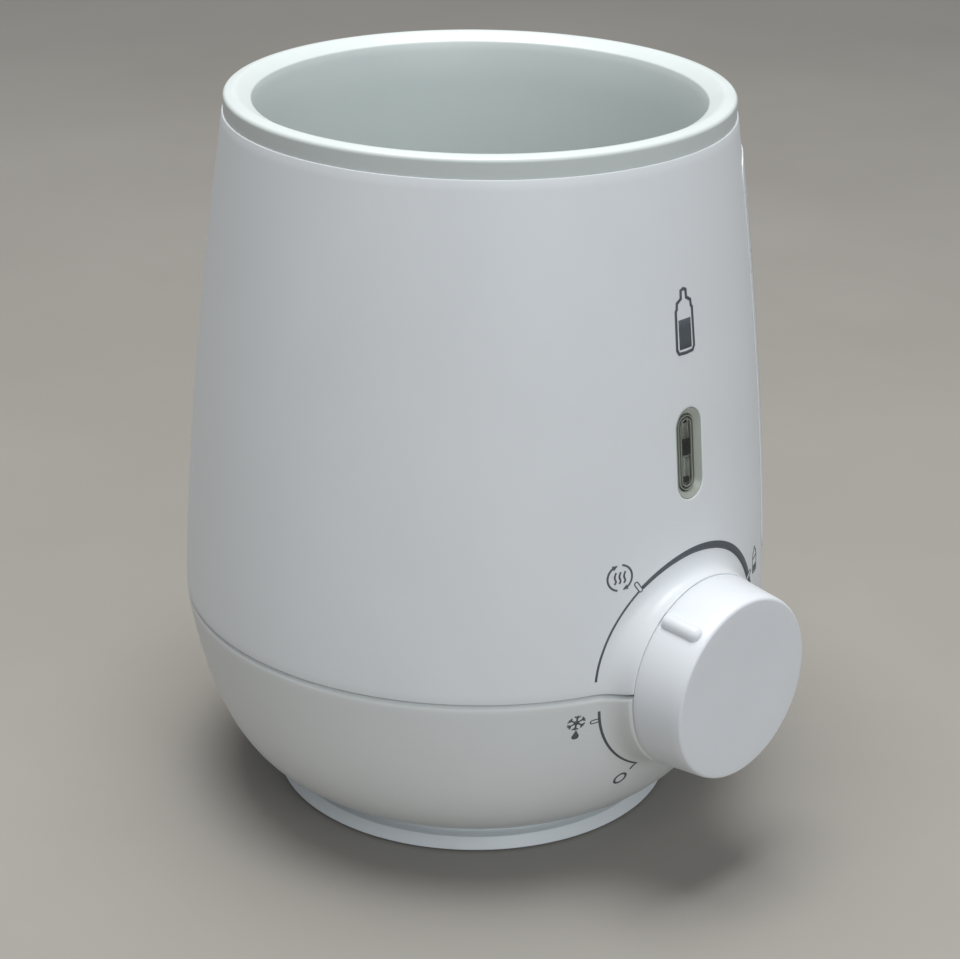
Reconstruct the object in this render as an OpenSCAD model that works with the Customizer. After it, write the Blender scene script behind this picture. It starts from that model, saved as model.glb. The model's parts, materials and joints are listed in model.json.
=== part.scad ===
// Bottle warmer: a tapered two-part housing round a water well, with a heated plate in its floor
// and one rotary control on the front. Millimetres, +Z up, front towards -Y.
// The origin is on the body's axis, on the surface that the rubber foot ring stands on.

/* [Housing] */
// Height from the surface to the crest of the rim
total_h = 171; // [168:0.5:180]
// Largest diameter of the body, just above the parting line
body_d = 139.6; // [138:0.2:144]
// Diameter of the upper housing at its top lip
lip_d = 116.4; // [115.6:0.2:118]
// Height of the parting line between the upper and lower housings
seam_z = 50.5; // [50.2:0.1:50.8]
// Width of the groove at the parting line
seam_gap = 0.6; // [0.4:0.1:1]
// Thickness of the moulded housing walls
wall = 2.4; // [2:0.1:2.8]

/* [Water well] */
// Diameter of the well's mouth
mouth_d = 103; // [100:0.5:104]
// Height of the well's floor
well_floor_z = 57; // [56:0.5:58]
// Thickness of the well's wall
well_wall = 2.2; // [1.8:0.1:2.4]

/* [Control knob] */
// Height of the knob's axis
knob_z = 50.5; // [50:0.1:51]
// Diameter of the knob at its back edge
knob_back_d = 45.6; // [44:0.2:46]
// Diameter of the knob at its flat face
knob_face_d = 43; // [42:0.2:44]
// Distance from the body's axis to the knob's flat face
knob_face_y = 84.9; // [84:0.1:86]
// Length of the knob, from its back edge to its face
knob_len = 12.3; // [12:0.1:12.6]
// Where the pointer is at rest, counter-clockwise from the viewer's right
pointer_angle = 128.5; // [120:0.5:132]

/* [Indicator window] */
// Height of the window's centre
window_z = 101.6; // [98:0.2:104]
// Length of the sunk frame of the window
window_h = 21; // [19:0.2:21.4]
// Width of the sunk frame of the window
window_w = 8.4; // [8.2:0.2:9]

/* [Foot] */
// Diameter of the foot flange of the base plate
foot_d = 97; // [95:0.5:98]
// Height of the base plate above the surface
foot_lift = 0.5; // [0.4:0.1:0.8]

/* [Cord inlet] */
// Height of the cord inlet at the back
inlet_z = 30; // [29:0.5:31]
// Diameter of the hole for the cord
inlet_d = 6.4; // [6:0.2:6.8]

/* [Hidden] */

$fn = 96;
quarter_turns = [0, 90, 180, 270];

// Housing outlines
widest_z = seam_z + 1.5;
lip_z = total_h - 4.7;
body_r = body_d / 2;
lip_r = lip_d / 2;
seam_top = seam_z + seam_gap / 2;
seam_low = seam_z - seam_gap / 2;
neck_r = 44.8;
neck_z = 5.5;
shell_low_z = neck_z + 0.5;
tongue_h = 3.8;
tongue_t = 1.6;
edge_round = 1.2;
outline_steps = 16;
pillar_z = shell_low_z + 1;

// Foot
foot_ring_r = 33.6;
foot_ring_w = 4.4;
foot_ring_h = 1.8;
flange_lean = 1.3;

// Water well
rim_r = 57.85;
rim_round = 1;
well_top_r = mouth_d / 2 - 0.5;
well_low_r = 46.5;
well_corner = 5;
well_outer_z = well_floor_z - 2.4;
skirt_r = 55.5;
skirt_t = 1.4;
skirt_z = 160;
opening_r = 32.5;
post_ring = 40.9;
post_r = 3.6;
floor_hole_r = 36.4;
post_foot_z = 32;

// Heater
plate_r = opening_r - 0.3;
plate_flange_r = 36.5;
plate_recess_r = 30;
plate_top_z = well_floor_z - 0.8;
flange_low_z = well_outer_z - 3.2;
flange_top_z = well_outer_z - 1.7;
plate_under_z = flange_low_z + 2;
heater_r = 22;
heater_tube_r = 3;
bracket_t = 1.5;
bracket_low_z = flange_low_z - bracket_t;
ear_ring = 41;
ear_r = 3.4;

// Screws
screw_r = 1.5;
small_screw_r = 1.2;

// Control
knob_back_y = knob_face_y - knob_len;
boss_face_y = knob_back_y - 0.2;
boss_base_y = 58;
boss_face_r = 23;
boss_flare = 4;
seam_rise = 1.9;
boss_bore_r = 20.6;
boss_front_t = 2.2;
bushing_r = 4.5;
shaft_r = 3;
shaft_flat = 2;
nut_t = 1.4;
board_face_y = 55.2;
board_t = 1.6;
board_w = 38;
board_low_z = 36;
board_top_z = 114;
board_post_x = [-15, 15];
board_post_z = [76, 110];
switch_w = 20;
switch_front_y = 64.2;
knob_taper = atan((knob_back_d - knob_face_d) / 2 / knob_len);
hub_back_y = knob_back_y + 2.4;
hub_front_y = knob_face_y - 2.2;

// Window
window_r_body = upper_r(window_z);
window_tilt = 5.8;
lens_h = 16.4;
lens_w = 5;

// Inlet
gland_face_y = 69.4;
port_face_y = 67.6;
gland_inner_y = 55;
gland_r = 4.6;

// Routes of the inner leads on the +X side: from the terminal block, and from the heater, to the board
connector_z = 37;
supply_route = [[4, 10, 15], [4, 8, 15], [4, 5, 16], [5, -4, 22], [7, -20, 26], [8, -36, 27], [9, -48, 28],
    [9, -54, 30], [9, -57, 33], [9, -57.7, 35], [9, -57.7, connector_z]];
heater_route = [[11.2, -19, 43], [11.2, -19, 41], [11.5, -21, 37], [12.5, -30, 33], [14, -42, 31],
    [15, -51, 31], [15, -56, 32], [15, -57.7, 35], [15, -57.7, connector_z]];

// Radius of the upper housing at a height: straight at the widest part, then a steady taper to the lip
function upper_r(z) =
    body_r - (body_r - lip_r) * pow(max(0, z - widest_z) / (lip_z - widest_z), 1.44);

// Point of a cubic curve with four control points
function cubic(p, t) =
    pow(1 - t, 3) * p[0] + 3 * t * pow(1 - t, 2) * p[1] + 3 * t * t * (1 - t) * p[2] + pow(t, 3) * p[3];

// The lower housing's bowl-like side, from under its rounded top edge to the neck, moved inwards by inset
function lower_side(inset) =
    let (p = [[body_r - inset, seam_low - edge_round], [body_r - 2.4 - inset, seam_low - 14.2],
              [neck_r + 18.2 - 0.7 * inset, shell_low_z + 2.4 + 0.9 * inset], [neck_r, shell_low_z + inset]])
    [for (i = [0 : outline_steps]) cubic(p, i / outline_steps)];

// Direction from one point of a route to the next, and the average direction at a point
function unit(v) = v / norm(v);
function heading(route, i) =
    unit(route[min(i + 1, len(route) - 1)] - route[max(i - 1, 0)]);

// One ring of points round a route's point
function route_ring(route, i, r, sides) =
    let (d = heading(route, i), u = unit(cross(d, [1, 0, 0])), v = cross(d, u))
    [for (k = [0 : sides - 1]) route[i] + r * (cos(360 * k / sides) * u + sin(360 * k / sides) * v)];

// A round lead along a route of points
module lead(route, r = 1.1, sides = 8) {
    rings = len(route);
    points = [for (i = [0 : rings - 1]) each route_ring(route, i, r, sides)];
    walls = [for (i = [0 : rings - 2], k = [0 : sides - 1])
        [i * sides + k, i * sides + (k + 1) % sides,
         (i + 1) * sides + (k + 1) % sides, (i + 1) * sides + k]];
    first = [for (k = [sides - 1 : -1 : 0]) k];
    last = [for (k = [0 : sides - 1]) (rings - 1) * sides + k];
    polyhedron(points, concat([first], walls, [last]));
}

// Puts a child that is drawn along +Z on the knob's axis, with +Z pointing out of the front
module on_knob_axis() {
    translate([0, 0, knob_z]) rotate([90, 0, 0]) children();
}

// A straight round hole or pin on the knob's axis, between two distances from the body's axis
module front_cylinder(r, y0, y1) {
    on_knob_axis() translate([0, 0, y0]) cylinder(r = r, h = y1 - y0);
}

// The same round shape at four places on a ring
module on_ring(ring, start) {
    for (a = quarter_turns) rotate(a + start) translate([ring, 0, 0]) children();
}

// A flat-topped screw that points up, with its head's underside at z
module screw_up(z, head_r, head_h, r, length) {
    translate([0, 0, z - head_h]) {
        cylinder(r = head_r, h = head_h);
        cylinder(r = r, h = head_h + length);
    }
}

// An upright oblong with round ends, drawn flat
module oblong(w, h) {
    square([w, h - w], center = true);
    for (s = [-1, 1]) translate([0, s * (h - w) / 2]) circle(d = w);
}

// An oblong block in the window's own plane: depth 0 is the housing's surface, positive is outwards
module window_block(w, h, d0, d1) {
    translate([0, -window_r_body, window_z]) rotate([90 - window_tilt, 0, 0])
        translate([0, 0, d0]) linear_extrude(d1 - d0) oblong(w, h);
}

// The flared boss behind the knob, as a solid
module boss_solid() {
    steps = 8;
    span = boss_face_y - boss_base_y;
    flare = [for (i = [0 : steps]) let (t = i / steps) [boss_face_r + boss_flare * pow(1 - t, 2),
        boss_base_y + span * t]];
    on_knob_axis() rotate_extrude()
        polygon(concat([[0, boss_base_y]], flare, [[0, boss_face_y]]));
}

// The upper housing's solid of revolution, moved inwards by inset
module upper_solid(inset, z0, z1) {
    side = [for (i = [0 : outline_steps]) let (z = z0 + (z1 - z0) * i / outline_steps)
        [upper_r(z) - inset, z]];
    rotate_extrude() polygon(concat([[0, z0]], side, [[0, z1]]));
}

// Posts on the housing's inside that carry the control board
module board_posts() {
    for (x = board_post_x, z = board_post_z)
        translate([x, -board_face_y, z]) rotate([90, 0, 0]) cylinder(r = 2.8, h = 10);
}

// The parting line rises along the boss, from the body's side to the boss's front edge
module boss_rise(z) {
    start = sqrt(pow(body_r, 2) - pow(boss_face_r + boss_flare, 2));
    end = boss_face_y + 1;
    half = boss_face_r + boss_flare + 3;
    high = seam_rise * (end - start) / (boss_face_y - start);
    translate([-half, 0, z]) rotate([90, 0, 90]) linear_extrude(2 * half)
        polygon([[-start, 0], [-start, -1], [-end, -1], [-end, high]]);
}

module upper_housing() {
    color([0.90, 0.92, 0.93]) difference() {
        union() {
            difference() {
                union() {
                    upper_solid(0, seam_top, lip_z);
                    boss_solid();
                }
                upper_solid(wall, seam_top - 30, lip_z + 1);
                front_cylinder(boss_bore_r, boss_base_y - 1, boss_face_y - boss_front_t);
            }
            intersection() {
                upper_solid(wall / 2, seam_top, lip_z);
                board_posts();
            }
        }
        translate([0, 0, seam_top - 100]) cube([300, 300, 200], center = true);
        boss_rise(seam_top);
        front_cylinder(bushing_r + 0.1, boss_base_y - 1, boss_face_y + 1);
        window_block(window_w, window_h, -1.4, 6);
        window_block(lens_w, lens_h, -8, 6);
        for (x = board_post_x, z = board_post_z)
            translate([x, -board_face_y + 1, z]) rotate([90, 0, 0]) cylinder(r = small_screw_r, h = 7);
    }
}

// Space inside the lower housing's wall, as a solid
module lower_cavity() {
    rotate_extrude() polygon(concat([[0, seam_low + 1], [body_r - wall, seam_low + 1]],
        lower_side(wall), [[0, shell_low_z + wall]]));
}

// The lower housing's wall and floor, with the tongue that stands up inside the upper housing
module lower_shell() {
    tongue_r = body_r - wall - 0.2;
    tongue_in = tongue_r - tongue_t;
    top_edge = [for (a = [90 : -22.5 : 22.5])
        [body_r - edge_round + edge_round * cos(a), seam_low - edge_round + edge_round * sin(a)]];
    inner = lower_side(wall);
    rotate_extrude() polygon(concat(
        top_edge, lower_side(0),
        [[neck_r, neck_z], [floor_hole_r, neck_z], [floor_hole_r, shell_low_z + wall]],
        [for (i = [outline_steps : -1 : 4]) inner[i]],
        [[tongue_in, seam_z - 8], [tongue_in, seam_z + tongue_h], [tongue_r, seam_z + tongue_h],
         [tongue_r, seam_low]]));
}

module lower_housing() {
    color([0.87, 0.88, 0.88]) difference() {
        union() {
            difference() {
                lower_shell();
                front_cylinder(boss_bore_r, 50, 80);
                translate([0, -65, seam_low + 5]) cube([2 * boss_face_r + 6, 20, 10], center = true);
            }
            difference() {
                boss_solid();
                lower_cavity();
                front_cylinder(boss_bore_r, boss_base_y - 1, boss_face_y - boss_front_t);
                difference() {
                    translate([0, -65, seam_low + 25]) cube([80, 40, 50], center = true);
                    boss_rise(seam_low);
                }
            }
            difference() {
                translate([0, 50, inlet_z]) rotate([-90, 0, 0]) cylinder(r = 8, h = port_face_y - 50);
                lower_cavity();
            }
            translate([0, 0, pillar_z]) {
                on_ring(post_ring, 45) cylinder(r = post_r, h = post_foot_z - pillar_z);
                on_ring(post_ring, 0) cylinder(r = 3.2, h = 7);
            }
        }
        front_cylinder(bushing_r + 0.1, boss_base_y - 1, boss_face_y + 1);
        on_ring(post_ring, 45) {
            translate([0, 0, neck_z - 1]) cylinder(r = 3.1, h = 7.5);
            cylinder(r = screw_r + 0.2, h = 60);
        }
        on_ring(post_ring, 0) cylinder(r = small_screw_r, h = 12.5);
        translate([0, 50, inlet_z]) rotate([-90, 0, 0]) cylinder(r = gland_r, h = 30);
    }
}

module base_plate() {
    flange_top = foot_lift + 2.9;
    color([0.88, 0.90, 0.91]) difference() {
        rotate_extrude() polygon([[0, 2.4], [29.6, 2.4], [30.6, foot_lift], [foot_d / 2 - 0.3, foot_lift],
            [foot_d / 2, foot_lift + 0.3], [foot_d / 2 - flange_lean, flange_top - 0.3],
            [foot_d / 2 - flange_lean - 0.3, flange_top], [neck_r, flange_top], [neck_r, neck_z], [0, neck_z]]);
        rotate_extrude() translate([foot_ring_r, 0]) square([foot_ring_w, foot_ring_h]);
        on_ring(post_ring, 0) {
            cylinder(r = 2.6, h = 3);
            cylinder(r = small_screw_r + 0.2, h = 10);
        }
    }
}

module foot_ring() {
    chamfer = 0.4;
    outer_r = foot_ring_r + foot_ring_w;
    color([0.24, 0.24, 0.25]) rotate_extrude()
        polygon([[foot_ring_r, foot_ring_h], [foot_ring_r, chamfer], [foot_ring_r + chamfer, 0],
            [outer_r - chamfer, 0], [outer_r, chamfer], [outer_r, foot_ring_h]]);
}

module base_screws() {
    color("silver") on_ring(post_ring, 0) screw_up(3, 2.4, 1.5, small_screw_r, 9.2);
}

module housing_screws() {
    color("silver") on_ring(post_ring, 45) screw_up(12, 2.9, 2.2, screw_r, 28);
}

module water_well() {
    corner_z = well_floor_z + well_corner;
    corner = [for (a = [0 : 15 : 90]) [well_low_r - well_corner + well_corner * cos(a),
        corner_z - well_corner * sin(a)]];
    shoulder = [for (a = [0 : 15 : 90]) [rim_r - rim_round + rim_round * cos(a),
        total_h - 0.3 - rim_round + rim_round * sin(a)]];
    post_h = well_outer_z + 1 - post_foot_z;
    ear_h = well_outer_z + 1 - flange_low_z;
    color([0.62, 0.66, 0.66]) difference() {
        union() {
            rotate_extrude() polygon(concat(
                [[rim_r, lip_z]], shoulder,
                [[rim_r - 1.8, total_h - 0.05], [rim_r - 2.4, total_h], [rim_r - 3.1, total_h - 0.12],
                 [mouth_d / 2 + 0.3, total_h - 1.75], [mouth_d / 2, total_h - 2.1],
                 [well_top_r, total_h - 4]],
                corner,
                [[opening_r, well_floor_z], [opening_r, well_outer_z], [well_low_r - 1.6, well_outer_z],
                 [well_low_r + well_wall, corner_z - 1.5], [well_top_r + well_wall, lip_z],
                 [skirt_r - skirt_t, lip_z], [skirt_r - skirt_t, skirt_z], [skirt_r, skirt_z],
                 [skirt_r, lip_z]]));
            on_ring(post_ring, 45) translate([0, 0, post_foot_z]) cylinder(r = post_r, h = post_h);
            on_ring(ear_ring, 0) translate([0, 0, flange_low_z]) cylinder(r = 3, h = ear_h);
        }
        on_ring(post_ring, 45) translate([0, 0, post_foot_z - 1]) cylinder(r = screw_r, h = 14);
        on_ring(ear_ring, 0) translate([0, 0, flange_low_z - 1]) cylinder(r = small_screw_r, h = 5);
    }
}

module plate_seal() {
    seal_w = plate_flange_r - opening_r - 0.4;
    color([0.80, 0.80, 0.78]) rotate_extrude()
        translate([opening_r + 0.2, flange_top_z]) square([seal_w, well_outer_z - flange_top_z]);
}

module heating_plate() {
    color([0.55, 0.57, 0.58]) rotate_extrude() polygon([[0, plate_under_z], [plate_recess_r, plate_under_z],
        [plate_recess_r, flange_low_z], [plate_flange_r, flange_low_z], [plate_flange_r, flange_top_z],
        [plate_r, flange_top_z], [plate_r, plate_top_z - 0.5], [plate_r - 0.5, plate_top_z],
        [0, plate_top_z]]);
}

module heater_element() {
    tube_z = plate_under_z - heater_tube_r;
    open_half = 30;
    color([0.60, 0.60, 0.62]) {
        rotate(-90 + open_half) rotate_extrude(angle = 360 - 2 * open_half)
            translate([heater_r, tube_z]) circle(r = heater_tube_r, $fn = 32);
        for (s = [-1, 1]) rotate(-90 + s * (open_half + 0.5)) translate([heater_r, 0, tube_z - 7.4])
            cylinder(r = 1.2, h = 7.4, $fn = 24);
    }
}

module heater_bracket() {
    color("silver") difference() {
        translate([0, 0, bracket_low_z]) union() {
            cylinder(r = plate_flange_r + 0.4, h = bracket_t);
            on_ring(ear_ring, 0) cylinder(r = ear_r, h = bracket_t);
            for (a = quarter_turns) rotate(a) translate([plate_flange_r - 2, -ear_r, 0])
                cube([ear_ring - plate_flange_r + 2, 2 * ear_r, bracket_t]);
        }
        translate([0, 0, bracket_low_z - 1]) cylinder(r = plate_recess_r + 1, h = 4);
        on_ring(ear_ring, 0) translate([0, 0, bracket_low_z - 1]) cylinder(r = small_screw_r, h = 4);
        on_ring(post_ring, 45) cylinder(r = post_r + 0.3, h = 80);
    }
}

module bracket_screws() {
    color("silver") on_ring(ear_ring, 0) screw_up(bracket_low_z, 2.4, 1.6, small_screw_r, 5);
}

module sensor_strap() {
    drop = 5.2;
    t = 1;
    top = bracket_low_z;
    color([0.75, 0.75, 0.77]) translate([0, 5, 0]) rotate([90, 0, 0]) linear_extrude(10)
        polygon([[-35.5, top], [-35.5, top - t], [-32.5, top - t], [-28, top - drop - t],
            [28, top - drop - t], [32.5, top - t], [35.5, top - t], [35.5, top],
            [32, top], [27.5, top - drop], [-27.5, top - drop], [-32, top]]);
}

module temperature_sensor() {
    strap_top = bracket_low_z - 5.2;
    color([0.20, 0.20, 0.22]) translate([0, 0, strap_top]) {
        cylinder(r = 4.5, h = 4);
        cylinder(r = 3, h = plate_under_z - strap_top);
    }
}

module thermal_fuse() {
    color([0.80, 0.76, 0.62]) translate([-6, 13, plate_under_z - 2]) rotate([0, 90, 0]) {
        cylinder(r = 2, h = 12, $fn = 32);
        translate([0, 0, -4]) cylinder(r = 0.5, h = 20, $fn = 16);
    }
}

module control_board() {
    color([0.20, 0.42, 0.26]) difference() {
        translate([-board_w / 2, -board_face_y, board_low_z])
            cube([board_w, board_t, board_top_z - board_low_z]);
        for (x = board_post_x, z = board_post_z)
            translate([x, -board_face_y - 1, z]) rotate([-90, 0, 0]) cylinder(r = small_screw_r + 0.1, h = 4);
    }
}

module board_components() {
    front = -board_face_y;
    color([0.15, 0.25, 0.45]) {
        translate([-16, front - 8, 62]) cube([12, 8, 9]);
        translate([4, front - 6, 63]) cube([12, 6, 6]);
        translate([0, front, 76]) rotate([90, 0, 0]) cylinder(r = 3.2, h = 8);
        for (x = [-8, 8]) translate([x - 2, front - 1.2, 83]) cube([4, 1.2, 5]);
        for (x = [-15, -9, 9, 15]) translate([x - 2.2, front - 5, connector_z]) cube([4.4, 5, 3.2]);
    }
}

module board_screws() {
    color("silver") for (x = board_post_x, z = board_post_z)
        translate([x, -board_face_y + board_t, z]) rotate([90, 0, 0])
            screw_up(0, 2.2, 1.3, small_screw_r, 6.5);
}

module rotary_switch() {
    color([0.30, 0.31, 0.33]) difference() {
        union() {
            translate([-switch_w / 2, -switch_front_y, knob_z - switch_w / 2])
                cube([switch_w, switch_front_y - board_face_y, switch_w]);
            front_cylinder(bushing_r, switch_front_y - 1, boss_face_y + nut_t);
        }
        front_cylinder(shaft_r + 0.05, board_face_y + 1.3, boss_face_y + nut_t + 1);
    }
}

module switch_nut() {
    color("silver") on_knob_axis() translate([0, 0, boss_face_y]) difference() {
        cylinder(r = 6.4, h = nut_t, $fn = 6);
        translate([0, 0, -1]) cylinder(r = bushing_r, h = nut_t + 2);
    }
}

module switch_shaft() {
    color([0.82, 0.82, 0.80]) difference() {
        front_cylinder(shaft_r, board_face_y + 1.8, hub_front_y - 0.5);
        on_knob_axis() translate([-5, shaft_flat, hub_back_y - 0.6]) cube([10, 4, 12]);
    }
}

module knob_cap() {
    back_r = knob_back_d / 2;
    face_r = knob_face_d / 2;
    skin = 2;
    edge = [for (a = [0 : 15 : 90]) [face_r - 1 + cos(a), knob_face_y - 1 + sin(a)]];
    ridge_r = 1.9;
    color([0.93, 0.94, 0.95]) on_knob_axis() {
        difference() {
            union() {
                rotate_extrude() polygon(concat([[0, knob_back_y], [back_r - 0.3, knob_back_y],
                    [back_r, knob_back_y + 0.3]], edge, [[0, knob_face_y]]));
                rotate(pointer_angle) translate([back_r - 0.4, 0, knob_back_y + 0.9])
                    rotate([0, -knob_taper, 0]) {
                        cylinder(r = ridge_r, h = 7.7, $fn = 32);
                        translate([0, 0, 7.7]) sphere(r = ridge_r, $fn = 32);
                    }
            }
            difference() {
                rotate_extrude() polygon([[0, knob_back_y - 1], [back_r - skin, knob_back_y - 1],
                    [face_r - skin, hub_front_y], [0, hub_front_y]]);
                translate([0, 0, hub_back_y]) cylinder(r = 7, h = 20);
                for (a = quarter_turns) rotate(a + 45)
                    translate([0, -0.7, hub_back_y + 2]) cube([24, 1.4, 20]);
            }
            translate([0, 0, hub_back_y - 1]) cylinder(r = 5.2, h = hub_front_y - hub_back_y + 1);
        }
    }
}

module knob_insert() {
    color([0.80, 0.68, 0.38]) on_knob_axis() difference() {
        translate([0, 0, hub_back_y]) cylinder(r = 5.2, h = hub_front_y - hub_back_y);
        intersection() {
            translate([0, 0, hub_back_y - 1]) cylinder(r = shaft_r, h = hub_front_y - hub_back_y + 0.5);
            translate([-5, -5, hub_back_y - 1]) cube([10, 5 + shaft_flat + 0.5, 20]);
        }
    }
}

module knob_spring() {
    color("silver") on_knob_axis() translate([-1.4, shaft_flat, hub_back_y + 0.4]) cube([2.8, 0.5, 6.4]);
}

module indicator_lens() {
    color([0.75, 0.80, 0.76, 0.6]) {
        window_block(lens_w - 0.1, lens_h - 0.1, -2.6, -1.6);
        window_block(window_w + 1.2, window_h + 1.2, -3.9, -2.6);
    }
}

module light_tube() {
    back = window_r_body - board_face_y - 0.6;
    color([0.30, 0.32, 0.31]) difference() {
        window_block(window_w + 1.2, window_h + 1.2, -back + 1, -3.9);
        window_block(window_w - 2, window_h - 2, -back - 2, 0);
    }
}

module indicator_leds() {
    color([0.95, 0.95, 0.90]) for (z = [-5, 5])
        translate([0, -board_face_y, window_z + z]) rotate([90, 0, 0]) {
            cylinder(r = 1.5, h = 2.6, $fn = 32);
            translate([0, 0, 2.6]) sphere(r = 1.5, $fn = 24);
        }
}

module terminal_block() {
    color([0.90, 0.90, 0.86]) difference() {
        translate([-10, 10, neck_z]) cube([20, 14, 13]);
        for (x = [-4, 4]) translate([x, 19, neck_z + 5]) cylinder(r = 1.6, h = 10, $fn = 24);
    }
}

module cord_gland() {
    color([0.32, 0.33, 0.34]) translate([0, 0, inlet_z]) rotate([-90, 0, 0]) difference() {
        union() {
            translate([0, 0, gland_inner_y]) cylinder(r = gland_r, h = gland_face_y - gland_inner_y);
            translate([0, 0, port_face_y]) cylinder(r = 6.5, h = gland_face_y - port_face_y);
            translate([0, 0, gland_inner_y]) cylinder(r = 5.4, h = 2);
        }
        translate([0, 0, gland_inner_y - 1]) cylinder(d = inlet_d, h = 20);
    }
}

module supply_leads() {
    color([0.45, 0.28, 0.18]) {
        lead(supply_route);
        mirror([1, 0, 0]) lead(supply_route);
    }
}

module heater_leads() {
    color([0.75, 0.74, 0.70]) {
        lead(heater_route);
        mirror([1, 0, 0]) lead(heater_route);
    }
}

module guide_label() {
    z0 = 62;
    z1 = 158;
    film_gap = 0.05;
    film_t = 0.25;
    first_angle = -90 + 34;
    side = [for (i = [0 : outline_steps]) z0 + (z1 - z0) * i / outline_steps];
    color([0.92, 0.93, 0.94]) rotate(first_angle) rotate_extrude(angle = 78)
        polygon(concat([for (z = side) [upper_r(z) + film_gap + film_t, z]],
            [for (i = [outline_steps : -1 : 0]) [upper_r(side[i]) + film_gap, side[i]]]));
}

upper_housing();
lower_housing();
base_plate();
foot_ring();
base_screws();
housing_screws();
water_well();
plate_seal();
heating_plate();
heater_element();
heater_bracket();
bracket_screws();
thermal_fuse();
temperature_sensor();
sensor_strap();
control_board();
board_components();
board_screws();
rotary_switch();
switch_nut();
switch_shaft();
knob_cap();
knob_insert();
knob_spring();
indicator_lens();
light_tube();
indicator_leds();
terminal_block();
cord_gland();
supply_leads();
heater_leads();
guide_label();
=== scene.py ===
"""Looks of the bottle warmer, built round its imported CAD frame. Metres, +Z up, the knob faces -Y."""

import json
import math

import bmesh
import bpy
import numpy as np
from mathutils import Matrix, Vector


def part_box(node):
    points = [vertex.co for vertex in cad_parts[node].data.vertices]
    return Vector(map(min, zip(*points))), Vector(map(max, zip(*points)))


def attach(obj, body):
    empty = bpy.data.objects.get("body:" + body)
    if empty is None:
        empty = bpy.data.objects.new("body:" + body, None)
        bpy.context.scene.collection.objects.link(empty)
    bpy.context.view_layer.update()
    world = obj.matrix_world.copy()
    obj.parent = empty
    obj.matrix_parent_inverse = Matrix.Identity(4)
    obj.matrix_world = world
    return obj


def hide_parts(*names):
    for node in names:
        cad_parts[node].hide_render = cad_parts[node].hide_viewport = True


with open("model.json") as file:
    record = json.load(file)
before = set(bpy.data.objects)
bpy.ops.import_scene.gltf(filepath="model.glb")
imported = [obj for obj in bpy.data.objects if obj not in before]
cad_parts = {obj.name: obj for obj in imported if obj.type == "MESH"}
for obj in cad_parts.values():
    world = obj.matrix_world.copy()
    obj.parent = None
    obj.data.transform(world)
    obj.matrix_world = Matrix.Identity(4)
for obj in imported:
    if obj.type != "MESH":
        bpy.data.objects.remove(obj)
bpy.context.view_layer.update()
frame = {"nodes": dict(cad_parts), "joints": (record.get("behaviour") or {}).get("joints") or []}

MM = 0.001
BODY = "body"
KNOB = "knob"

# ------ sizes, from the frame and the design

KNOB_Z = frame["joints"][0]["pos_m"][2]
UPPER_LOW, UPPER_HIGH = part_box("upper_housing")
SEAM_TOP = UPPER_LOW.z
SEAM_GAP = 0.6 * MM
LOWER_HIGH_Z = SEAM_TOP - SEAM_GAP
SEAM_RISE = 1.9 * MM
EDGE_ROUND = 1.2 * MM
LIP_Z = UPPER_HIGH.z
BODY_R = UPPER_HIGH.x
LIP_R = 58.2 * MM
WIDEST_Z = 52 * MM
TAPER_POWER = 1.44
WALL = 2.4 * MM
NECK_R = 44.8 * MM
NECK_Z = 5.5 * MM
SHELL_LOW_Z = NECK_Z + 0.5 * MM
RIM_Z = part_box("water_well")[1].z
KNOB_BACK = -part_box("knob_cap")[1].y
KNOB_FACE = -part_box("knob_cap")[0].y
BOSS_FACE = KNOB_BACK - 0.1 * MM
BOSS_FACE_R = 23.1 * MM
BOSS_DRAFT = math.tan(math.radians(2.5))
BOSS_FILLET = 4.2 * MM
WINDOW_Z = 101.6 * MM
WINDOW_W = 8.4 * MM
WINDOW_H = 21 * MM
WINDOW_TILT = math.radians(5.8)
POINTER_ANGLE = math.radians(128.5)
SECTION_STEP = 2.0


# ------ outline of the body

def upper_radius(z):
    """Radius of the upper housing at a height."""
    t = np.clip((np.asarray(z, float) - WIDEST_Z) / (LIP_Z - WIDEST_Z), 0, None)
    return BODY_R - (BODY_R - LIP_R) * t**TAPER_POWER


def lower_curve(count):
    """Points (radius, height) down the lower housing's side, from the parting line to the neck: a short
    straight edge, then a cubic curve."""
    top = LOWER_HIGH_Z - EDGE_ROUND
    p = np.array([[BODY_R, top], [BODY_R - 2.4 * MM, top - 13 * MM],
                  [NECK_R + 18.2 * MM, SHELL_LOW_Z + 2.4 * MM], [NECK_R, SHELL_LOW_Z]])
    t = np.linspace(0, 1, count)[:, None]
    side = ((1 - t)**3 * p[0] + 3 * t * (1 - t)**2 * p[1]
            + 3 * t**2 * (1 - t) * p[2] + t**3 * p[3])
    return np.vstack([[[BODY_R, LOWER_HIGH_Z]], side])


LOWER_TABLE = lower_curve(1500)[::-1]


def body_radius(z):
    """Radius of the whole body at a height, without the boss."""
    z = np.asarray(z, float)
    low = np.interp(z, LOWER_TABLE[:, 1], LOWER_TABLE[:, 0])
    return np.where(z > LOWER_HIGH_Z, upper_radius(z), low)


def body_depth(x, z):
    """Distance in front of the axis of the body's surface, straight ahead of the point (x, z)."""
    return np.sqrt(np.maximum(body_radius(z)**2 - np.asarray(x, float)**2, 1e-9))


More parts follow.
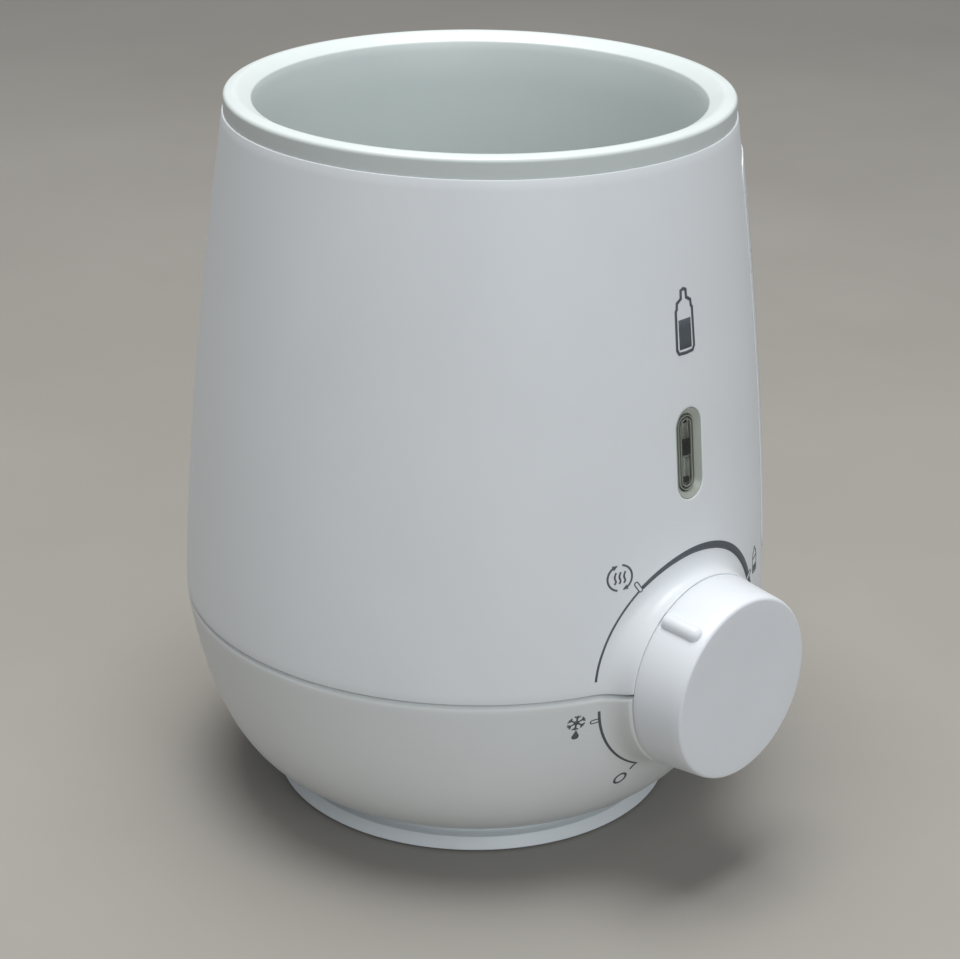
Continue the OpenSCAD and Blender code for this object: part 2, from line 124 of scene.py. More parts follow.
def boss_section(angle, steps=10):
    """Points (distance from the knob's axis, depth) from the boss's front edge out to where it meets the
    body, in the half plane at that angle: a drafted wall, then a concave blend."""
    c, s = math.cos(angle), math.sin(angle)

    def surface(rho):
        return float(body_depth(rho * c, KNOB_Z + rho * s))

    foot = BOSS_FACE_R
    for _ in range(4):  # the wall's draft and the depth of its foot depend on each other
        foot = BOSS_FACE_R + (BOSS_FACE - surface(foot)) * BOSS_DRAFT
    base = surface(foot)
    leg = min(BOSS_FILLET, 0.8 * (BOSS_FACE - base))
    top = np.array([foot - leg * BOSS_DRAFT, base + leg])
    out = foot + BOSS_FILLET
    end = np.array([out, surface(out)])
    knee = np.array([foot, base])
    t = np.linspace(0, 1, steps + 1)[:, None]
    curve = (1 - t)**2 * top + 2 * t * (1 - t) * knee + t**2 * end
    edge = np.array([[BOSS_FACE_R, BOSS_FACE]])
    room = EDGE_ROUND * 1.3
    if BOSS_FACE - top[1] < 2.4 * EDGE_ROUND:
        mid = (edge + top) / 2
    else:
        mid = edge + [room * BOSS_DRAFT, -room]
    return np.vstack([edge, mid, curve])


SECTIONS = [boss_section(a) for a in np.radians(np.arange(-180, 181, SECTION_STEP))]


def front_depth(x, z):
    """Depth of the housing's surface at (x, z), with the boss's blend."""
    rho = math.hypot(x, z - KNOB_Z)
    depth = float(body_depth(x, z))
    reach = BOSS_FACE_R + 3 * BOSS_FILLET
    if rho > reach:
        return depth
    at = (math.degrees(math.atan2(z - KNOB_Z, x)) + 180) / SECTION_STEP
    i = min(int(at), len(SECTIONS) - 2)
    part = at - i
    values = []
    for s in SECTIONS[i:i + 2]:
        values.append(np.interp(rho, s[:, 0], s[:, 1]) if rho < s[-1, 0] else depth)
    return float(values[0] * (1 - part) + values[1] * part)


# ------ mesh helpers

def add_object(name, data):
    """An object in the scene that shows the data."""
    obj = bpy.data.objects.new(name, data)
    bpy.context.scene.collection.objects.link(obj)
    return obj


def new_object(name, shape, mat, sharp=None):
    """A mesh object from (vertices, faces), smooth-shaded, with sharp edges above an angle in degrees."""
    verts, faces = shape
    mesh = bpy.data.meshes.new(name)
    mesh.from_pydata([tuple(v) for v in verts], [], [tuple(f) for f in faces])
    mesh.validate()
    obj = add_object(name, mesh)
    bm = bmesh.new()
    bm.from_mesh(mesh)
    bmesh.ops.remove_doubles(bm, verts=bm.verts, dist=1e-7)
    bmesh.ops.recalc_face_normals(bm, faces=bm.faces)
    bm.to_mesh(mesh)
    bm.free()
    mesh.polygons.foreach_set("use_smooth", [True] * len(mesh.polygons))
    if sharp is not None:
        mesh.set_sharp_from_angle(angle=math.radians(sharp))
    mesh.materials.append(mat)
    return obj


def apply_modifiers(obj):
    """Bakes an object's modifiers into its mesh."""
    graph = bpy.context.evaluated_depsgraph_get()
    mesh = bpy.data.meshes.new_from_object(obj.evaluated_get(graph))
    obj.modifiers.clear()
    obj.data = mesh


def revolve(profile, segments, closed=True):
    """Vertices and faces of a ring or disc whose outline is the profile (radius, height). An open profile
    starts and ends on the axis."""
    angles = np.linspace(0, 2 * math.pi, segments, endpoint=False)
    verts, rings = [], []
    for r, z in profile:
        if r < 1e-9:
            rings.append([len(verts)] * segments)
            verts.append((0, 0, z))
        else:
            rings.append(list(range(len(verts), len(verts) + segments)))
            verts += [(r * math.sin(a), -r * math.cos(a), z) for a in angles]
    faces = []
    count = len(profile)
    for i in range(count if closed else count - 1):
        a, b = rings[i], rings[(i + 1) % count]
        for k in range(segments):
            n = (k + 1) % segments
            face = list(dict.fromkeys((a[k], a[n], b[n], b[k])))
            if len(face) > 2:
                faces.append(face)
    return verts, faces


def arc(cr, cz, r, a0, a1, steps):
    """Points along an arc in the (radius, height) plane, angles in degrees."""
    return [(cr + r * math.cos(math.radians(a)), cz + r * math.sin(math.radians(a)))
            for a in np.linspace(a0, a1, steps + 1)]


def block(points):
    """Quads over a 2-D array of points."""
    rows, cols = points.shape[:2]
    index = np.arange(rows * cols).reshape(rows, cols)
    quads = np.stack([index[:-1, :-1], index[:-1, 1:], index[1:, 1:], index[1:, :-1]], -1).reshape(-1, 4)
    return points.reshape(-1, 3), quads


def join_blocks(blocks):
    """One vertex and face list from several blocks."""
    verts, faces, start = [], [], 0
    for v, f in blocks:
        verts.append(np.asarray(v))
        faces += [tuple(int(i) + start for i in q) for q in f]
        start += len(v)
    return np.vstack(verts), faces


def around_axis(theta, z):
    """Body surface points on a grid of angles from the front and heights."""
    t, zz = np.meshgrid(theta, z)
    r = body_radius(zz)
    return np.stack([r * np.sin(t), -r * np.cos(t), zz], -1)


def on_front(x, z):
    """Body surface points straight ahead of (x, z)."""
    return np.stack([x, -body_depth(x, z), z], -1)


def oblong_outline(w, h, directions):
    """Points of an upright oblong with round ends, in the given directions from its middle."""
    r = w / 2
    straight = (h - w) / 2
    points = []
    for a in directions:
        dx, dz = math.cos(a), math.sin(a)
        t = r / abs(dx) if abs(dx) > 1e-9 else 1e9
        if abs(t * dz) > straight:
            cz = math.copysign(straight, dz)
            b = dz * cz
            t = b + math.sqrt(max(b * b - (cz * cz - r * r), 0))
        points.append((t * dx, t * dz))
    return np.array(points)


# ------ materials

def new_material(name):
    """A material with its node tree and its surface shader."""
    mat = bpy.data.materials.new(name)
    mat.use_nodes = True
    tree = mat.node_tree
    return mat, tree, tree.nodes["Principled BSDF"]


def set_inputs(node, values):
    for key, value in values.items():
        node.inputs[key].default_value = value


def add_node(tree, kind, values=None):
    """A shader node with its inputs' values."""
    node = tree.nodes.new("ShaderNode" + kind)
    set_inputs(node, values or {})
    return node


def object_coords(tree):
    return add_node(tree, "TexCoord").outputs["Object"]


def noise(tree, scale, detail, rough=0.55):
    """Noise in the object's own coordinates."""
    node = add_node(tree, "TexNoise", {"Scale": scale, "Detail": detail, "Roughness": rough})
    tree.links.new(object_coords(tree), node.inputs["Vector"])
    return node.outputs["Fac"]


def paint(tree, bsdf, source, low, high, start=0.3, stop=0.7):
    """Colours the surface from low to high as the source goes from start to stop."""
    node = add_node(tree, "ValToRGB")
    first, last = node.color_ramp.elements
    first.position, first.color = start, (*low, 1)
    last.position, last.color = stop, (*high, 1)
    tree.links.new(source, node.inputs["Fac"])
    tree.links.new(node.outputs["Color"], bsdf.inputs["Base Color"])


def gloss(tree, bsdf, source, low, high):
    """Varies the surface's roughness from low to high with the source."""
    node = add_node(tree, "MapRange", {"From Min": 0.3, "From Max": 0.7, "To Min": low, "To Max": high})
    tree.links.new(source, node.inputs["Value"])
    tree.links.new(node.outputs["Result"], bsdf.inputs["Roughness"])


def bump(tree, height, strength, distance, before=None):
    """Relief from a height, added to an earlier relief."""
    node = add_node(tree, "Bump", {"Strength": strength, "Distance": distance})
    tree.links.new(height, node.inputs["Height"])
    if before is not None:
        tree.links.new(before, node.inputs["Normal"])
    return node.outputs["Normal"]


def shade(color, factor):
    return tuple(min(1.0, c * factor) for c in color)


def moulded_plastic(name, color, rough, grain=0.06, vary=0.015):
    """Moulded plastic: faint colour drift, handling marks in its gloss, a fine spark-eroded grain and the
    slow waviness of a moulded wall."""
    mat, tree, bsdf = new_material(name)
    drift = noise(tree, 35, 4)
    paint(tree, bsdf, drift, shade(color, 1 - vary), shade(color, 1 + vary))
    marks = noise(tree, 120, 5, 0.7)
    gloss(tree, bsdf, marks, rough - 0.05, rough + 0.06)
    waves = bump(tree, noise(tree, 18, 1), 0.12, 0.0002)
    fine = bump(tree, noise(tree, 2600, 2), grain, 0.00006, waves)
    tree.links.new(fine, bsdf.inputs["Normal"])
    bsdf.inputs["IOR"].default_value = 1.49
    return mat


def ink(name, color):
    """Printed film, a little uneven."""
    mat, tree, bsdf = new_material(name)
    film = noise(tree, 900, 3)
    paint(tree, bsdf, film, shade(color, 0.9), shade(color, 1.12))
    gloss(tree, bsdf, film, 0.42, 0.55)
    return mat


def metal(name, color, rough, brush=600):
    """Worked metal: fine scratches in its colour, gloss and relief."""
    mat, tree, bsdf = new_material(name)
    scratches = noise(tree, brush, 6, 0.75)
    paint(tree, bsdf, scratches, shade(color, 0.9), shade(color, 1.06))
    gloss(tree, bsdf, scratches, rough - 0.06, rough + 0.1)
    tree.links.new(bump(tree, scratches, 0.15, 0.00005), bsdf.inputs["Normal"])
    bsdf.inputs["Metallic"].default_value = 1.0
    return mat


def soft_rubber(name, color, rough):
    """Matt rubber or silicone with a trace of dust."""
    mat, tree, bsdf = new_material(name)
    dust = noise(tree, 300, 5, 0.7)
    paint(tree, bsdf, dust, shade(color, 0.85), shade(color, 1.25))
    gloss(tree, bsdf, dust, rough - 0.08, rough + 0.1)
    tree.links.new(bump(tree, noise(tree, 1800, 2), 0.15, 0.00008), bsdf.inputs["Normal"])
    return mat


def coated_plate(name, color):
    """Non-stick coating over a turned plate: fine speckle, and turning rings that show through."""
    mat, tree, bsdf = new_material(name)
    speck = noise(tree, 1500, 2)
    paint(tree, bsdf, speck, shade(color, 0.82), shade(color, 1.2), 0.4, 0.62)
    gloss(tree, bsdf, noise(tree, 90, 4), 0.34, 0.5)
    rings = add_node(tree, "TexWave", {"Scale": 260, "Distortion": 0.4})
    rings.wave_type = "RINGS"
    rings.rings_direction = "Z"
    tree.links.new(object_coords(tree), rings.inputs["Vector"])
    turned = bump(tree, rings.outputs["Fac"], 0.12, 0.00008)
    tree.links.new(bump(tree, speck, 0.15, 0.00005, turned), bsdf.inputs["Normal"])
    return mat


def clear_plastic(name, color, rough):
    """Clear moulded plastic with faint drag lines along its length."""
    mat, tree, bsdf = new_material(name)
    stretch = add_node(tree, "Mapping", {"Scale": (3000, 3000, 120)})
    lines = add_node(tree, "TexNoise", {"Scale": 1.0, "Detail": 2.0})
    tree.links.new(object_coords(tree), stretch.inputs["Vector"])
    tree.links.new(stretch.outputs["Vector"], lines.inputs["Vector"])
    tree.links.new(bump(tree, lines.outputs["Fac"], 0.2, 0.00008), bsdf.inputs["Normal"])
    gloss(tree, bsdf, lines.outputs["Fac"], rough, rough + 0.05)
    set_inputs(bsdf, {"Base Color": (*color, 1), "Transmission Weight": 1.0, "IOR": 1.4})
    return mat


def circuit_board(name):
    """Green board with a grid of tracks in its face."""
    mat, tree, bsdf = new_material(name)
    cells = add_node(tree, "TexBrick", {
        "Scale": 260, "Color1": (0.012, 0.09, 0.035, 1), "Color2": (0.02, 0.13, 0.05, 1),
        "Mortar": (0.05, 0.22, 0.09, 1), "Mortar Size": 0.03})
    turn = add_node(tree, "Mapping", {"Rotation": (math.pi / 2, 0, 0)})
    tree.links.new(object_coords(tree), turn.inputs["Vector"])
    tree.links.new(turn.outputs["Vector"], cells.inputs["Vector"])
    tree.links.new(cells.outputs["Color"], bsdf.inputs["Base Color"])
    tree.links.new(bump(tree, cells.outputs["Fac"], 0.3, 0.00005), bsdf.inputs["Normal"])
    bsdf.inputs["Roughness"].default_value = 0.35
    return mat


WHITE = moulded_plastic("white_shell", (0.80, 0.83, 0.86), 0.40)
LOWER_WHITE = moulded_plastic("lower_shell", (0.74, 0.765, 0.77), 0.42)
BASE_WHITE = moulded_plastic("base_white", (0.80, 0.84, 0.86), 0.42)
KNOB_WHITE = moulded_plastic("knob_white", (0.79, 0.82, 0.86), 0.36)
WELL_GREY = moulded_plastic("well_grey", (0.63, 0.68, 0.67), 0.38, grain=0.10)
LABEL_FILM = moulded_plastic("label_film", (0.80, 0.83, 0.86), 0.30, grain=0.02)
TUBE_GREY = moulded_plastic("tube_grey", (0.10, 0.11, 0.10), 0.5)
INK = ink("dial_ink", (0.085, 0.10, 0.115))
LABEL_INK = ink("label_ink", (0.30, 0.33, 0.36))
BEZEL_GREY = moulded_plastic("bezel_grey", (0.40, 0.43, 0.38), 0.16, grain=0.03)
REFLECTOR = moulded_plastic("reflector_grey", (0.52, 0.55, 0.50), 0.3, vary=0.25)
LENS_CLEAR = clear_plastic("lens_clear", (0.93, 0.95, 0.92), 0.02)
COATING = coated_plate("plate_coating", (0.30, 0.32, 0.33))
STEEL = metal("steel", (0.62, 0.62, 0.63), 0.34)
HEATER_METAL = metal("heater_metal", (0.45, 0.44, 0.43), 0.5, 350)
BRASS = metal("brass", (0.72, 0.53, 0.25), 0.32)
RUBBER = soft_rubber("rubber", (0.035, 0.035, 0.038), 0.7)
GLAND_RUBBER = soft_rubber("gland_grey", (0.09, 0.095, 0.10), 0.6)
SILICONE = soft_rubber("silicone", (0.62, 0.62, 0.60), 0.55)
BROWN_LEAD = soft_rubber("lead_brown", (0.10, 0.045, 0.02), 0.5)
PALE_LEAD = soft_rubber("lead_natural", (0.55, 0.52, 0.44), 0.8)
# Near black: the board's components take it, and so do the boxes of painted shade behind the lens.
DARK_PART_AND_SHADE = moulded_plastic("component_dark", (0.03, 0.034, 0.04), 0.5, vary=0.1)
SENSOR_DARK = moulded_plastic("sensor_dark", (0.04, 0.04, 0.045), 0.55, vary=0.1)
SWITCH_DARK = moulded_plastic("switch_dark", (0.05, 0.05, 0.055), 0.5, vary=0.1)
NYLON = moulded_plastic("shaft_nylon", (0.62, 0.62, 0.58), 0.45)
TERMINAL = moulded_plastic("terminal_white", (0.70, 0.70, 0.64), 0.45)
LED_CLEAR = moulded_plastic("led_white", (0.80, 0.80, 0.70), 0.15)
BOARD = circuit_board("board_green")


# ------ housings

FRONT_HALF = math.radians(34)
FRONT_COLUMNS = 40
REST_COLUMNS = 150
PATCH_TOP = 86 * MM
WINDOW_TOP = 116 * MM
PATCH_LOW = 13 * MM
FRONT_ANGLES = np.linspace(-FRONT_HALF, FRONT_HALF, FRONT_COLUMNS + 1)
REST_ANGLES = np.linspace(FRONT_HALF, 2 * math.pi - FRONT_HALF, REST_COLUMNS + 1)


def surface_point(theta, z):
    """(x, z) of the body's surface at an angle from the front."""
    return float(body_radius(z) * math.sin(theta)), z


def boss_block(rows, seam_z, side):
    """The part of a housing in front, from the boss's front edge out to a border of whole grid cells.
    side is 1 above the parting line and -1 below. rows run from the parting line outwards. The edge along
    the parting line rises from the body to the boss's front."""
    border = [surface_point(FRONT_HALF, z) for z in rows]
    far = [surface_point(t, rows[-1]) for t in FRONT_ANGLES[::-1][1:-1]]
    border = np.array(border + far + [(-x, z) for x, z in border[::-1]])
    angle = np.unwrap(np.arctan2(side * (border[:, 1] - KNOB_Z), border[:, 0]))
    share = (angle - angle[0]) / (angle[-1] - angle[0])
    lines = []
    middle = math.asin(side * (seam_z - KNOB_Z) / (BOSS_FACE_R + BOSS_FILLET / 2))
    for (bx, bz), w in zip(border, share):
        section = boss_section(side * (middle + (math.pi - 2 * middle) * w))
        line = []
        base = section[-1, 1]
        for rho, depth in section:
            rise = SEAM_RISE * ((depth - base) / (BOSS_FACE - base))**2
            first = math.asin(side * (seam_z + rise - KNOB_Z) / rho)
            a = first + (math.pi - 2 * first) * w
            line.append((rho * math.cos(a), -depth, KNOB_Z + side * rho * math.sin(a)))
        sx, _, sz = line[-1]
        for t in np.linspace(0, 1, 15)[1:]:
            x, z = sx + (bx - sx) * t, sz + (bz - sz) * t
            line.append((x, -float(body_depth(x, z)), z))
        lines.append(line)
    return block(np.array(lines))


def window_block(rows):
    """The part of the upper housing round the window, from its edge out to whole grid cells."""
    theta = FRONT_ANGLES
    border = [surface_point(t, rows[0]) for t in theta]
    border += [surface_point(theta[-1], z) for z in rows[1:]]
    border += [surface_point(t, rows[-1]) for t in theta[::-1][1:]]
    border += [surface_point(theta[0], z) for z in rows[::-1][1:]]
    border = np.array(border)
    wide = np.arctan2(border[:, 1] - WINDOW_Z, border[:, 0] * 0.5)  # spreads the rows over the long sides
    margin = 1.6 * MM
    inner = oblong_outline(WINDOW_W, WINDOW_H, wide) + [0, WINDOW_Z]
    near = oblong_outline(WINDOW_W + margin, WINDOW_H + margin, wide) + [0, WINDOW_Z]
    layers = [inner, near] + [near + (border - near) * t for t in np.linspace(0, 1, 12)[1:]]
    return block(np.array([on_front(p[:, 0], p[:, 1]) for p in layers]))


def thicken(obj, thickness, outer_round, inner_round, segments):
    """Gives a sheet its wall thickness inwards, and rounds the outer and inner edges of its rim."""
    outside = len(obj.data.vertices)
    rim_angle = math.radians(55)
    solid = obj.modifiers.new("wall", "SOLIDIFY")
    solid.thickness = thickness
    solid.offset = -1
    solid.use_even_offset = True
    apply_modifiers(obj)
    bm = bmesh.new()
    bm.from_mesh(obj.data)
    steep = [e for e in bm.edges if e.is_manifold and e.calc_face_angle() > rim_angle]
    outer = [e for e in steep if max(v.index for v in e.verts) < outside]
    inner = [e for e in steep if min(v.index for v in e.verts) >= outside]
    bmesh.ops.bevel(bm, geom=inner, offset=inner_round, segments=2, profile=0.5, affect="EDGES")
    bmesh.ops.bevel(bm, geom=outer, offset=outer_round, segments=segments, profile=0.5, affect="EDGES",
                    clamp_overlap=False)
    bm.to_mesh(obj.data)
    bm.free()
    obj.data.set_sharp_from_angle(angle=math.radians(50))


def make_upper_housing():
    """The white sleeve, with the upper part of the boss and the window's opening."""
    low_rows = np.linspace(SEAM_TOP, PATCH_TOP, 19)
    window_rows = np.linspace(PATCH_TOP, WINDOW_TOP, 15)
    top_rows = np.linspace(WINDOW_TOP, LIP_Z, 21)
    all_rows = np.concatenate([low_rows, window_rows[1:], top_rows[1:]])
    shape = join_blocks([
        block(around_axis(REST_ANGLES, all_rows)),
        block(around_axis(FRONT_ANGLES, top_rows)),
        boss_block(low_rows, SEAM_TOP, 1),
        window_block(window_rows)])
    shell = new_object("upper_housing_shell", shape, WHITE)
    thicken(shell, WALL, 0.18 * MM, 0.15 * MM, 3)
    return shell


def make_lower_housing():
    """The bowl-like shell under the parting line, with the lower part of the boss."""
    curve = lower_curve(41)
    curve = np.vstack([curve[:1], curve[2:]])
    upper_part = curve[curve[:, 1] > PATCH_LOW]
    patch_rows = np.append(upper_part[:, 1], PATCH_LOW)
    tail = curve[curve[:, 1] < PATCH_LOW]
    full_turn = np.concatenate([FRONT_ANGLES, REST_ANGLES[1:]])
    tail_r = np.concatenate([[float(body_radius(PATCH_LOW))], tail[:, 0]])
    tail_z = np.concatenate([[PATCH_LOW], tail[:, 1]])
    low = np.array([[(r * math.sin(t), -r * math.cos(t), z) for t in full_turn]
                    for r, z in zip(tail_r, tail_z)])
    shape = join_blocks([
        block(around_axis(REST_ANGLES, patch_rows)),
        boss_block(patch_rows, LOWER_HIGH_Z, -1),
        block(low)])
    shell = new_object("lower_housing_shell", shape, LOWER_WHITE)
    thicken(shell, WALL, EDGE_ROUND, 0.2 * MM, 6)
    return shell


def make_tongue():
    """The ring of the lower housing that stands up behind the parting line. It stops at the boss."""
    outer = BODY_R - WALL - 0.2 * MM
    inner = outer - 1.6 * MM
    low, high = LOWER_HIGH_Z - 6 * MM, LOWER_HIGH_Z + 4 * MM
    gap_half = math.radians(24)
    angles = np.linspace(gap_half, 2 * math.pi - gap_half, 121)
    outline = ((outer, low), (outer, high), (inner, high), (inner, low), (outer, low))
    verts, faces = block(np.array([[(r * math.sin(a), -r * math.cos(a), z) for a in angles]
                                   for r, z in outline]))
    n = len(angles)
    faces = [tuple(f) for f in faces] + [(0, n, 2 * n, 3 * n), (n - 1, 2 * n - 1, 3 * n - 1, 4 * n - 1)]
    return new_object("housing_tongue", (verts, faces), LOWER_WHITE, 40)


# ------ the well, the plate and the foot

def make_well():
    """The tub, with its crested rim and the skirt that fits inside the sleeve's lip."""
    rim_r = 57.85 * MM
    mouth_r = 51.5 * MM
    top_r = mouth_r - 0.5 * MM
    low_r = 46.5 * MM
    floor_z = 57 * MM
    corner = 5 * MM
    under_z = floor_z - 2.4 * MM
    hole_r = 32.5 * MM
    wall = 2.2 * MM
    skirt_r = 55.5 * MM
    skirt_in = skirt_r - 1.4 * MM
    skirt_z = 160 * MM
    shoulder = 1 * MM
    crease_r = rim_r - 3.1 * MM
    profile = [(rim_r, LIP_Z)]
    profile += arc(rim_r - shoulder, RIM_Z - 0.3 * MM - shoulder, shoulder, 0, 84, 9)
    profile += [(rim_r - 1.8 * MM, RIM_Z - 0.05 * MM), (rim_r - 2.4 * MM, RIM_Z),
                (crease_r, RIM_Z - 0.12 * MM), (crease_r - 0.3 * MM, RIM_Z - 0.25 * MM)]
    profile += [(mouth_r + 0.3 * MM, RIM_Z - 1.75 * MM), (mouth_r + 0.08 * MM, RIM_Z - 1.92 * MM),
                (mouth_r, RIM_Z - 2.15 * MM)]
    profile += [(top_r + (low_r - top_r) * t, RIM_Z - 4 * MM + (floor_z + corner - RIM_Z + 4 * MM) * t)
                for t in np.linspace(0, 1, 14)]
    profile += arc(low_r - corner, floor_z + corner, corner, 0, -90, 8)[1:]
    profile += [(hole_r + 0.4 * MM, floor_z), (hole_r, floor_z - 0.4 * MM), (hole_r, under_z),
                (low_r - 1.6 * MM, under_z), (low_r + wall, floor_z + 3.5 * MM), (top_r + wall, LIP_Z),
                (skirt_in, LIP_Z), (skirt_in, skirt_z), (skirt_r, skirt_z), (skirt_r, LIP_Z)]
    return new_object("water_well_tub", revolve(profile, 200), WELL_GREY, 38)


def make_plate():
    """The well's heated floor: a flanged disc with a shallow groove in its top and a recess underneath."""
    low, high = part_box("heating_plate")
    flange_r = high.x
    r = 32.2 * MM
    step_z = low.z + 1.5 * MM
    recess_r = 30 * MM
    recess_z = low.z + 2 * MM
    soft = 0.6 * MM
    groove_z = high.z - 0.2 * MM
    profile = [(0, recess_z), (recess_r, recess_z), (recess_r, low.z), (flange_r, low.z),
               (flange_r, step_z), (r, step_z), (r, high.z - soft)]
    profile += arc(r - soft, high.z - soft, soft, 0, 90, 4)[1:]
    profile += [(24 * MM, high.z), (23.6 * MM, groove_z), (22.8 * MM, groove_z),
                (22.4 * MM, high.z), (6 * MM, high.z), (0, high.z)]
    return new_object("heating_plate_top", revolve(profile, 160, closed=False), COATING, 38)


def make_base():
    """The bottom: a leaning foot flange, the rubber ring's groove and a dished middle."""
    low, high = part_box("base_plate")
    r = high.x
    flange_top = low.z + 2.9 * MM
    lean = 1.3 * MM
    soft = 0.3 * MM
    nick = 0.2 * MM
    ring_in, ring_out, ring_h = 33.6 * MM, 38.0 * MM, 1.8 * MM
    middle_z = 2.4 * MM
    profile = [(0, middle_z), (29.2 * MM, middle_z), (30.2 * MM, low.z + 0.3 * MM), (30.8 * MM, low.z)]
    profile += [(ring_in - nick, low.z), (ring_in, low.z + nick), (ring_in, ring_h),
                (ring_out, ring_h), (ring_out, low.z + nick), (ring_out + nick, low.z)]
    profile += arc(r - soft, low.z + soft, soft, -90, 0, 4)
    profile += arc(r - lean - soft, flange_top - soft, soft, 10, 90, 4)
    profile += [(NECK_R + 0.4 * MM, flange_top), (NECK_R, flange_top + 0.3 * MM),
                (NECK_R, high.z), (0, high.z)]
    return new_object("base_plate_foot", revolve(profile, 180, closed=False), BASE_WHITE, 38)


# ------ the knob

def knob_matrix():
    """Drawn along +Z, put on the knob's axis with +Z pointing out of the front."""
    return Matrix.Translation((0, 0, KNOB_Z)) @ Matrix.Rotation(math.pi / 2, 4, "X")


def capsule(radius, length):
    """A round-ended ridge along +Z, flat at its start."""
    profile = [(0, 0), (radius, 0), (radius, length)]
    profile += arc(0, length, radius, 0, 90, 12)[1:-1]
    profile += [(0, length + radius)]
    return revolve(profile, 40, closed=False)


def make_knob():
    """The cap, hollow at the back, with its raised pointer."""
    back_r = 22.8 * MM
    face_r = 21.5 * MM
    edge = 0.9 * MM
    wall = 2 * MM
    hollow_z = KNOB_FACE - 2.2 * MM
    soft = 0.08 * MM
    profile = [(back_r - soft, KNOB_BACK)]
    profile += arc(back_r - soft, KNOB_BACK + soft, soft, -90, 0, 3)[1:]
    profile += [(back_r + (face_r - back_r) * t, KNOB_BACK + (KNOB_FACE - KNOB_BACK) * t)
                for t in np.linspace(0.1, 0.9, 6)]
    profile += arc(face_r - edge, KNOB_FACE - edge, edge, 0, 90, 8)
    profile += [(face_r - 4 * MM, KNOB_FACE), (6 * MM, KNOB_FACE), (0, KNOB_FACE),
                (0, hollow_z), (face_r - wall, hollow_z), (back_r - wall, KNOB_BACK)]
    cap = new_object("knob_cap_shell", revolve(profile, 180), KNOB_WHITE)
    ridge_r = 1.95 * MM
    ridge_length = 7.7 * MM
    ridge_start = (back_r - 0.45 * MM, 0, KNOB_BACK + 0.9 * MM)
    ridge = new_object("ridge_cutter", capsule(ridge_r, ridge_length), KNOB_WHITE)
    taper = math.atan2(back_r - face_r, KNOB_FACE - KNOB_BACK)
    ridge.data.transform(Matrix.Rotation(POINTER_ANGLE, 4, "Z")
                         @ Matrix.Translation(ridge_start)
                         @ Matrix.Rotation(-taper, 4, "Y"))
    union = cap.modifiers.new("ridge", "BOOLEAN")
    union.operation = "UNION"
    union.solver = "EXACT"
    union.object = ridge
    apply_modifiers(cap)
    bpy.data.objects.remove(ridge)
    cap.data.transform(knob_matrix())
    cap.data.set_sharp_from_angle(angle=math.radians(38))
    return cap


# ------ the indicator window

def window_matrix():
    """Drawn in the window's plane: x right, y up, z out of the housing, from the middle of its surface."""
    r = float(body_radius(WINDOW_Z))
    return Matrix.Translation((0, -r, WINDOW_Z)) @ Matrix.Rotation(math.pi / 2 - WINDOW_TILT, 4, "X")


OBLONG_SIDES = 72


def oblong_loft(levels):
    """A closed solid through oblong loops (width, height, z) in millimetres, capped at both ends."""
    n = OBLONG_SIDES
    turns = [2 * math.pi * k / n for k in range(n)]
    verts, rings = [], []
    for level in levels:
        w, h, z = (v * MM for v in level)
        loop = oblong_outline(w, h, [math.atan2(math.sin(a) * h, math.cos(a) * w) for a in turns])
        rings.append(list(range(len(verts), len(verts) + n)))
        verts += [(x, y, z) for x, y in loop]
    faces = []
    for a, b in zip(rings, rings[1:]):
        faces += [(a[k], a[(k + 1) % n], b[(k + 1) % n], b[k]) for k in range(n)]
    faces += [tuple(rings[0][::-1]), tuple(rings[-1])]
    return verts, faces


def oblong_ring(levels):
    """A closed ring through oblong loops (width, height, z) in millimetres; the last joins the first."""
    verts, faces = oblong_loft(levels)
    n = OBLONG_SIDES
    last = (len(levels) - 1) * n
    joint = [(last + k, last + (k + 1) % n, (k + 1) % n, k) for k in range(n)]
    return verts, faces[:-2] + joint


def box_mesh(x0, x1, y0, y1, z0, z1):
    """A closed box, in millimetres."""
    corners = ((x0, y0), (x1, y0), (x1, y1), (x0, y1))
    verts = [(x * MM, y * MM, z * MM) for z in (z0, z1) for x, y in corners]
    faces = [(0, 1, 2, 3), (4, 5, 6, 7), (0, 1, 5, 4), (1, 2, 6, 5), (2, 3, 7, 6), (3, 0, 4, 7)]
    return np.array(verts), faces


# Each level is a width, a height and a depth in millimetres
W, H = WINDOW_W / MM, WINDOW_H / MM
BEZEL_LEVELS = [
    (W + 1, H + 1, -3.8), (W + 1, H + 1, -2.5), (W - 0.1, H - 0.1, -2.4), (W - 0.1, H - 0.1, -0.35),
    (W - 0.4, H - 0.4, -0.22), (W - 0.8, H - 0.8, -0.3), (5.9, 18.2, -1.2), (5.7, 18.0, -1.25),
    (5.6, 17.9, -1.5), (5.6, 17.9, -3.8)]
TUBE_LEVELS = [(W + 1, H + 1, -9.5), (W + 1, H + 1, -3.9), (6.4, 18.6, -3.9), (6.4, 18.6, -9.5)]
LENS_LEVELS = [
    (5.5, 17.8, -3.0), (5.5, 17.8, -1.5), (5.1, 17.4, -1.25), (4.7, 17.0, -1.25), (4.6, 16.9, -1.5),
    (4.2, 16.5, -1.5), (4.0, 16.3, -1.1), (3.5, 15.8, -1.1), (3.4, 15.7, -1.35), (2.9, 15.2, -1.35),
    (2.7, 15.0, -1.0), (2.2, 14.4, -0.95), (0.8, 12.6, -0.9)]


def reflector_ribs():
    """Pale upright ribs in two groups behind the lens, and a bright bar between them."""
    ribs = [box_mesh(x - 0.22, x + 0.22, y0, y1, -5.4, -3.3)
            for x in np.arange(-2.1, 2.2, 1.05) for y0, y1 in ((-8.0, -1.7), (2.6, 8.0))]
    return ribs + [box_mesh(-3, 3, -1.6, -1.25, -5.4, -3.15)]


